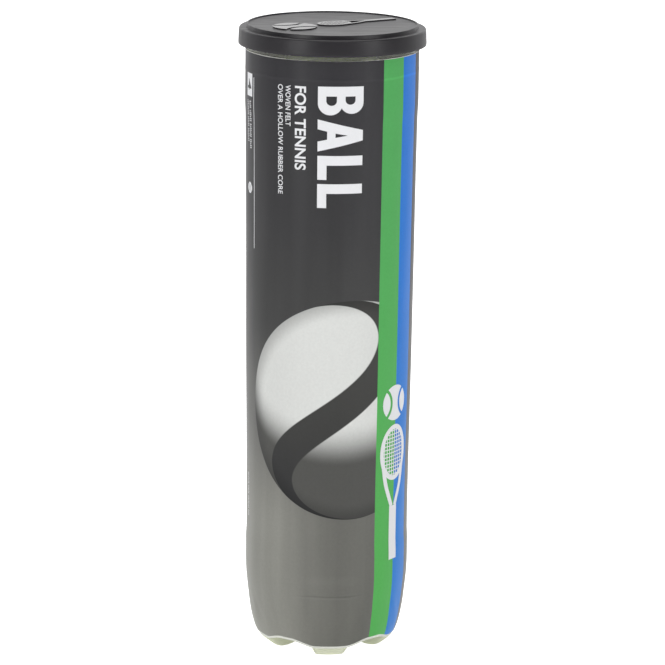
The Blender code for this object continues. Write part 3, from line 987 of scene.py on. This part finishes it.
def panel_height(x, y):
    """Height of the pressed panel: a groove, a score line, a finger well and a bead."""
    radius = np.hypot(x, y)
    groove = smooth_step(radius, 25.5, 26.4) - smooth_step(radius, 28.6, 29.5)
    well = 1 - smooth_step(np.hypot(x / 8.4, (y + 8.0) / 6.4), 0.72, 1.12)
    swept = np.abs(np.arctan2(x, y))
    bead = smooth_step(radius, 12.6, 14.2) - smooth_step(radius, 16.6, 18.2)
    bead = bead * (1 - smooth_step(swept, 1.05, 1.25))
    flat = smooth_step(radius, 20.6, 21.2) - smooth_step(radius, 21.6, 22.2)
    return -0.6 * groove - 0.1 * hump(radius, 31.8, 0.16) - 0.7 * well + 0.38 * bead + 0.16 * flat


def build_tear_panel(metal):
    top = top_of("tear_panel")
    radii = np.arange(0.3, PANEL_RADIUS + 0.01, 0.3)
    angles = turns(ROUND_STEPS)
    x = radii[:, None] * np.sin(angles)
    y = -radii[:, None] * np.cos(angles)
    upper = np.stack([x, y, top + panel_height(x, y)], axis=2)
    lower = upper - np.array([0.0, 0.0, PANEL_THICK])
    centre = top + float(panel_height(0.0, 0.0))
    panel = shell(upper, lower, ((0, 0, centre), (0, 0, centre - PANEL_THICK)))
    piece("pressed_panel", panel, metal, "panel", ["tear_panel"])


def build_rivet(metal, tongue_metal):
    centre = (0.0, RIVET_Y)
    head = turned(RIVET_PROFILE, 0.25, "tear_panel", 64, centre)
    piece("rivet_head", head, metal, "panel", ["tab_rivet"])
    tongue = turned(TONGUE_PROFILE, 0.1, "tear_panel", 64, centre)
    piece("rivet_tongue", tongue, tongue_metal, "panel", ())


# Ring pull


def closed_tube(path, z, radius, sides=14):
    """A round bead along a closed path in plan."""
    around = turns(sides)
    out = sideways(path)[:, None, :] * (radius * np.cos(around))[None, :, None]
    flat = np.array(path)[:, None, :] + out
    up = np.broadcast_to((z + radius * np.sin(around))[None, :, None], (len(path), sides, 1))
    return np.concatenate([flat, up], axis=2).reshape(-1, 3), loop_faces(len(path), sides)


def plate(outline, holes, low, high):
    """A flat plate from its outline and its holes."""
    plan = Plan()
    plan.shape(outline, holes)
    points, faces = plan.slab(high - low)
    return points + np.array([0.0, 0.0, low]), faces


def tab_outline(inset):
    """The ring pull's outline, anticlockwise from its nose, moved inwards by a distance."""
    half_nose, half_width = TAB_NOSE_WIDTH / 2, TAB_WIDTH / 2
    right = [(0.0, TAB_AXIS_Y - 0.35), (half_nose * 0.75, TAB_AXIS_Y - 0.25)]
    part = np.arange(1, 11) / 10
    x = half_nose + (half_width - half_nose) * np.sin(part * math.pi / 2)
    y = TAB_AXIS_Y + 0.4 + (TAB_SHOULDER_Y - TAB_AXIS_Y - 0.4) * part
    right += zip(x, y)
    right += arc(0.0, TAB_RING_Y, half_width, half_width, 0, 90, 40)
    path = right + [(-x, y) for x, y in reversed(right[1:-1])]
    return [tuple(point) for point in path - sideways(path) * inset]


def build_tab(metal):
    """A stamped ring pull: a curled rim, a curled finger hole and the web between them."""
    low, high = (corner[2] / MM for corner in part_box("pull_tab"))
    middle = (low + high) / 2
    curl = (high - low) / 2 - 0.02
    edge = tab_outline(curl)
    finger_ring = widened(FINGER_HOLE, curl * 0.8)
    holes = [widened(FINGER_HOLE, 0.3), widened(RIVET_WINDOW, 0.0)]
    web = plate(edge, holes, middle - 0.14, middle + 0.16)
    lip = plate(widened(RIVET_WINDOW, 0.55), holes[1:], middle - 0.2, middle + 0.34)
    shapes = (
        ("tab_rim", closed_tube(edge, middle, curl), ["pull_tab"], 0.0),
        ("tab_finger_ring", closed_tube(finger_ring, middle, curl), (), 0.0),
        ("tab_web", web, (), 0.1),
        ("tab_window_lip", lip, (), 0.18),
    )
    for name, shape, nodes, soft in shapes:
        made = piece(name, shape, metal, "tab", nodes)
        if soft:
            soften(made, soft)


def widened(hole, by):
    """The outline of a hole, given as half width, half length and place, made larger."""
    return oval(hole[0] + by, hole[1] + by, hole[2])


# Overcap


def build_overcap(plastic, polished):
    cap = turned(CAP_PROFILE, 0.08, "overcap")
    piece("press_on_cap", cap, plastic, "cap", ["overcap"])
    flat, faces = emblem(0.0, -31.0, 9.4, 38.0, 0.8, 2).slab(RELIEF_DEPTH)
    points = flat @ np.array(Matrix.Rotation(math.radians(RELIEF_TURN), 3, "Z")).T
    points[:, 2] += top_of("overcap") + CAP_DISC + RELIEF_RAISE - RELIEF_DEPTH
    relief = piece("cap_relief", (points, faces), polished, "cap", ())
    soften(relief, 0.12)


# Balls


def seam_line(turn):
    """Unit directions along the tennis-ball curve."""
    wide = 1.0 - SEAM_CURVE
    x = wide * np.cos(turn) + SEAM_CURVE * np.cos(3 * turn)
    y = wide * np.sin(turn) - SEAM_CURVE * np.sin(3 * turn)
    z = 2 * math.sqrt(wide * SEAM_CURVE) * np.sin(2 * turn)
    return unit(np.stack([x, y, z], axis=-1))


def beside_seam(turn, distance):
    """Unit directions at a distance from the seam, measured on the ball, towards panel A."""
    here = seam_line(turn)
    across = unit(np.cross(here, seam_line(turn + 0.001) - seam_line(turn - 0.001)))
    angle = distance / BALL_RADIUS
    return here * np.cos(angle) + across * np.sin(angle)


def felt_directions():
    """A grid of directions over panel A. Its first and last rows are single points."""
    along = -math.pi / 4 + math.pi * np.arange(1, FELT_ROWS) / FELT_ROWS
    start = beside_seam(along, FELT_EDGE)
    end = beside_seam(3 * math.pi / 2 - along, FELT_EDGE)
    angle = np.arccos(np.clip(np.sum(start * end, axis=1), -1, 1))[:, None, None]
    part = (0.5 - 0.5 * np.cos(math.pi * np.arange(FELT_COLUMNS + 1) / FELT_COLUMNS))
    part = part[None, :, None]
    grid = np.sin((1 - part) * angle) * start[:, None] + np.sin(part * angle) * end[:, None]
    tips = beside_seam(np.array([-math.pi / 4, 3 * math.pi / 4]), FELT_EDGE)
    return unit(grid), tips


def felt_faces(rows, columns, tip):
    """Faces of a grid whose ends close on two tips, and the numbers round its edge in order."""
    lines = [list(range(row * columns, (row + 1) * columns)) for row in range(rows)]
    lines = [[tip] * columns] + lines + [[tip + 1] * columns]
    faces = []
    for line, after in zip(lines, lines[1:]):
        faces += ring_faces(line, after)[:-1]
    right = [line[-1] for line in lines]
    left = [line[0] for line in lines[1:-1]]
    return faces, right + left[::-1]


def edge_distance(directions):
    """How far each direction lies from the seam's middle, on the ball's surface."""
    line = seam_line(turns(720))
    nearest = (directions @ line.T).max(axis=1)
    return BALL_RADIUS * np.arccos(np.clip(nearest, -1, 1))


def nap_height(direction, seed):
    """The uneven surface of the brushed felt."""
    place = Vector(direction) * 9.0 + Vector((seed * 7.1, 0.0, 0.0))
    rough = noise.noise(place) + 0.5 * noise.noise(place * 2.7)
    return FELT_NAP * rough


def felt_panel(seed, swap):
    """A felt panel as a thin closed shell whose edges roll down to the seam."""
    grid, tips = felt_directions()
    rows, columns = grid.shape[:2]
    directions = np.concatenate([grid.reshape(-1, 3), tips])
    from_edge = edge_distance(directions) - FELT_EDGE
    roll = FELT_ROLL * np.clip(1 - from_edge / FELT_ROLL_WIDTH, 0, 1) ** 2
    if swap:
        directions = np.stack([directions[:, 1], -directions[:, 0], -directions[:, 2]], axis=1)
    nap = np.array([nap_height(direction, seed) for direction in directions])
    outer = directions * (BALL_RADIUS - 0.1 - roll + nap)[:, None]
    inner = directions * FELT_INSIDE
    count = len(directions)
    faces, edge = felt_faces(rows, columns, count - 2)
    faces += [[index + count for index in reversed(face)] for face in faces]
    for here, after in zip(edge, edge[1:] + edge[:1]):
        faces.append([after, here, here + count, after + count])
    return np.concatenate([outer, inner]), faces


def seam_ribbon():
    """The rubber seam, a ribbon with a softly crowned top."""
    steps = 320
    around = turns(steps)
    section = ((1.0, -0.55), (1.0, -0.12), (0.8, 0.0), (0.4, 0.10), (0.0, 0.13))
    section += tuple((-x, up) for x, up in section[-2::-1])
    rings = [beside_seam(around, s * SEAM_HALF_WIDTH) * (SEAM_OUTSIDE + up) for s, up in section]
    return np.stack(rings, axis=1).reshape(-1, 3), loop_faces(steps, len(section))


def core_half(sign):
    """One half of the hollow rubber core."""
    inside = CORE_RADIUS - CORE_WALL
    low = math.degrees(math.asin(CORE_SPLIT / 2 / CORE_RADIUS))
    outer = arc(0.0, 0.0, CORE_RADIUS, CORE_RADIUS, 90, low)
    inner = arc(0.0, 0.0, inside, inside, low, 90)
    profile = [(0.0, CORE_RADIUS), *outer[1:], *inner[:-1], (0.0, inside)]
    return revolve([(radius, sign * z) for radius, z in profile], 72)


def fuzz(seed):
    """Loose fibres that stand up from the felt, each a slender closed spike."""
    random = np.random.default_rng(seed)
    roots = unit(random.normal(size=(FUZZ_COUNT, 3)))
    roots = roots[edge_distance(roots) > SEAM_HALF_WIDTH + 0.3]
    count = len(roots)
    lean = random.normal(size=(count, 3))
    lean = unit(lean - roots * np.sum(lean * roots, axis=1, keepdims=True))
    side = np.cross(roots, lean)
    length = random.uniform(*FUZZ_LENGTH, size=(count, 1))
    steep = random.uniform(0.25, 1.0, size=(count, 1))
    tip = roots * (BALL_RADIUS + length * steep * 0.5) + lean * length
    base = roots * (BALL_RADIUS - 0.35)
    half = FUZZ_WIDTH / 2
    corners = [base + side * half, base - side * half, base + lean * half * 1.7, tip]
    points = np.stack(corners, axis=1).reshape(-1, 3)
    faces = []
    for first in range(0, 4 * count, 4):
        a, b, c, d = range(first, first + 4)
        faces += [[a, c, b], [a, b, d], [b, c, d], [c, a, d]]
    return points, faces


def build_ball(number, felt, rubber, seam):
    ball = f"ball_{number}"
    centre = np.array([0.0, 0.0, FIRST_BALL_Z + BALL_PITCH * (number - 1)])
    turn = np.array(Euler([math.radians(a) for a in BALL_TURNS[number - 1]]).to_matrix())
    made = {
        "felt_panel_a": (felt_panel(number, False), felt, "felt_a", "felt_a_fabric"),
        "felt_panel_b": (felt_panel(number + 10, True), felt, "felt_b", "felt_b_fabric"),
        "rubber_seam": (seam_ribbon(), seam, "seam", "seam_rubber"),
        "core_shell_a": (core_half(1), rubber, "core_half_a", "core_a_rubber"),
        "core_shell_b": (core_half(-1), rubber, "core_half_b", "core_b_rubber"),
        "fuzz": (fuzz(number), felt, None, "felt_a_fabric"),
    }
    for name, ((points, faces), material, node, slot) in made.items():
        placed = points @ turn.T + centre
        nodes = [f"{ball}_{node}"] if node else []
        piece(f"{ball}_{name}", (placed, faces), material, ball, nodes)


# Studio


def area_light(name, place, aim, width, height, power):
    data = bpy.data.lights.new(name, "AREA")
    data.shape = "RECTANGLE"
    data.size = width
    data.size_y = height
    data.energy = power
    light = add_object(name, data)
    light.location = place
    light.rotation_euler = (Vector(aim) - Vector(place)).to_track_quat("-Z", "Y").to_euler()


def build_world():
    """White to the camera. To the object it is a white sweep behind and a dim room in front."""
    world = bpy.data.worlds.new("studio")
    look = Look(world, "Background", "Generated")
    sweep = look.ramp(look.split()[1], -0.3, 0.8, ROOM_GREY, SWEEP_WHITE)
    seen = look.node("ShaderNodeLightPath").outputs["Is Camera Ray"]
    look.set("Strength", look.ramp(seen, 0.0, 1.0, sweep, 1.0, "LINEAR"))
    look.set("Color", (1.0, 1.0, 1.0))
    bpy.context.scene.world = world


def build_floor():
    """A plain white floor, lit from within so that it meets the white behind it."""
    bpy.ops.mesh.primitive_plane_add(size=12.0)
    floor = bpy.context.object
    floor.name = "floor"
    look = surface("white_floor", Roughness=0.9)
    look.set("Base Color", (0.8, 0.8, 0.8))
    look.set("Emission Color", (1.0, 1.0, 1.0))
    seen = look.node("ShaderNodeLightPath").outputs["Is Camera Ray"]
    look.set("Emission Strength", look.ramp(seen, 0.0, 1.0, FLOOR_GLOW, FLOOR_SEEN, "LINEAR"))
    floor.data.materials.append(look.owner)


def place_camera():
    data = bpy.data.cameras.new("camera")
    data.lens = CAMERA_LENS
    data.sensor_width = 36.0
    data.clip_start = 0.05
    data.clip_end = 50.0
    camera = add_object("camera", data)
    tilt = Euler((math.radians(90.0 - CAMERA_PITCH), 0.0, -math.radians(CAMERA_HEADING)))
    roll = Matrix.Rotation(math.radians(CAMERA_ROLL), 4, "Z")
    place = Matrix.Translation(Vector(CAMERA_PLACE) * MM)
    camera.matrix_world = place @ tilt.to_matrix().to_4x4() @ roll
    bpy.context.scene.camera = camera


def corners(bounds):
    return [[float(value) for value in corner] for corner in bounds]


def main():
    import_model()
    build_can(pet_look())
    film_ring("sleeve_film", sleeve_heights, sleeve_look(), ["label_sleeve"])
    film_ring("sleeve_hem", hem_heights, hem_look("clear_film", 0.75, 0.80))
    film_ring("sleeve_top_hem", top_hem_heights, hem_look("thin_clear_film", 0.14, 0.75))
    white = ink_look("white_ink", (0.775, 0.78, 0.80))
    dark = ink_look("dark_ink", (0.03, 0.03, 0.031))
    build_front_print(white)
    build_side_print(white, dark)
    build_seam(
        metal_look("seam_metal", 0.60, 0.30, 0.10),
        rubber_look("seam_compound_look", (0.55, 0.50, 0.42)),
    )
    build_tear_panel(metal_look("panel_metal", 0.50, 0.28, 0.12))
    build_rivet(
        metal_look("rivet_metal", 0.52, 0.35, 0.06),
        metal_look("tongue_metal", 0.50, 0.32, 0.08),
    )
    build_tab(metal_look("tab_metal", 0.52, 0.30, 0.08))
    build_overcap(
        moulded_look("cap_plastic", (0.015, 0.0135, 0.0165), 0.36, 0.08, 0.05),
        moulded_look("cap_relief_plastic", (0.026, 0.024, 0.027), 0.13, 0.03),
    )
    felt = felt_look("ball_felt", (0.60, 0.78, 0.08))
    rubber = rubber_look("core_rubber", (0.11, 0.10, 0.09))
    seam = rubber_look("seam_rubber_look", (0.82, 0.83, 0.78), 900.0)
    for number in range(1, len(BALL_TURNS) + 1):
        build_ball(number, felt, rubber, seam)
    build_floor()
    build_world()
    for light in LIGHTS:
        area_light(*light)
    place_camera()
    bpy.context.scene.view_settings.view_transform = "Standard"


main()
